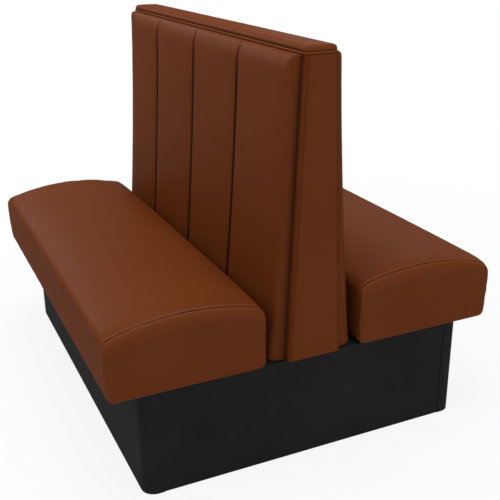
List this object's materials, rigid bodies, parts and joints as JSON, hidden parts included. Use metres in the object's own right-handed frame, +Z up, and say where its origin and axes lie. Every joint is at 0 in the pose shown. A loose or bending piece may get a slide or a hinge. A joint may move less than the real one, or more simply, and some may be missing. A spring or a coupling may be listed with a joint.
{
  "type": "restaurant booth",
  "caption": "Double restaurant booth: two padded bench seats back to back on one black plinth, with a tall channelled backrest between them.",
  "frame": {"origin": "on the floor, under the middle of the backrest", "axes": "+Y runs along the bench from the near end to the far end, +X runs from the backrest to the front of the right-hand seat, +Z up"},
  "size_m": [1.0986, 1.219, 1.067],
  "materials": {
    "chestnut_vinyl": "satin",
    "black_laminate": "matte",
    "black_plywood": "matte",
    "black_cambric": "matte",
    "foam": "matte",
    "plywood": "satin",
    "softwood": "matte",
    "zinc_steel": "satin"
  },
  "bodies": {
    "root": {"backrest_bolts": "zinc_steel", "backrest_foot_rail": "softwood", "backrest_head_rail": "softwood", "backrest_mid_rails": "softwood", "backrest_nuts": "zinc_steel", "backrest_ribs": "plywood", "cap_board": "plywood", "cap_cover": "chestnut_vinyl", "cap_foam": "foam", "cap_welt": "chestnut_vinyl", "far_end_board": "plywood", "far_end_cover": "chestnut_vinyl", "far_end_foam": "foam", "far_plinth_end_board": "black_plywood", "far_plinth_laminate": "black_laminate", "floor_brackets": "zinc_steel", "left_backrest_cover": "chestnut_vinyl", "left_backrest_foam": "foam", "left_backrest_panel": "plywood", "left_plinth_front_board": "plywood", "left_plinth_front_laminate": "black_laminate", "near_end_board": "plywood", "near_end_cover": "chestnut_vinyl", "near_end_foam": "foam", "near_plinth_end_board": "black_plywood", "near_plinth_laminate": "black_laminate", "plinth_centre_board": "black_plywood", "plinth_corner_posts": "plywood", "plinth_dividers": "plywood", "right_backrest_cover": "chestnut_vinyl", "right_backrest_foam": "foam", "right_backrest_panel": "plywood", "right_plinth_front_board": "plywood", "right_plinth_front_laminate": "black_laminate"},
    "left_seat": {"left_seat_back_rail": "softwood", "left_seat_board": "plywood", "left_seat_cleats": "softwood", "left_seat_cover": "chestnut_vinyl", "left_seat_cross_rails": "softwood", "left_seat_dust_cover": "black_cambric", "left_seat_edge_foam": "foam", "left_seat_foam": "foam", "left_seat_front_rail": "softwood"},
    "right_seat": {"right_seat_back_rail": "softwood", "right_seat_board": "plywood", "right_seat_cleats": "softwood", "right_seat_cover": "chestnut_vinyl", "right_seat_cross_rails": "softwood", "right_seat_dust_cover": "black_cambric", "right_seat_edge_foam": "foam", "right_seat_foam": "foam", "right_seat_front_rail": "softwood"}
  },
  "joints": [
    {"name": "left_seat_lift", "type": "slide", "parent": "root", "child": "left_seat", "axis": [0, 0, 1], "range_m": [0, 0.15]},
    {"name": "right_seat_lift", "type": "slide", "parent": "root", "child": "right_seat", "axis": [0, 0, 1], "range_m": [0, 0.15]}
  ]
}
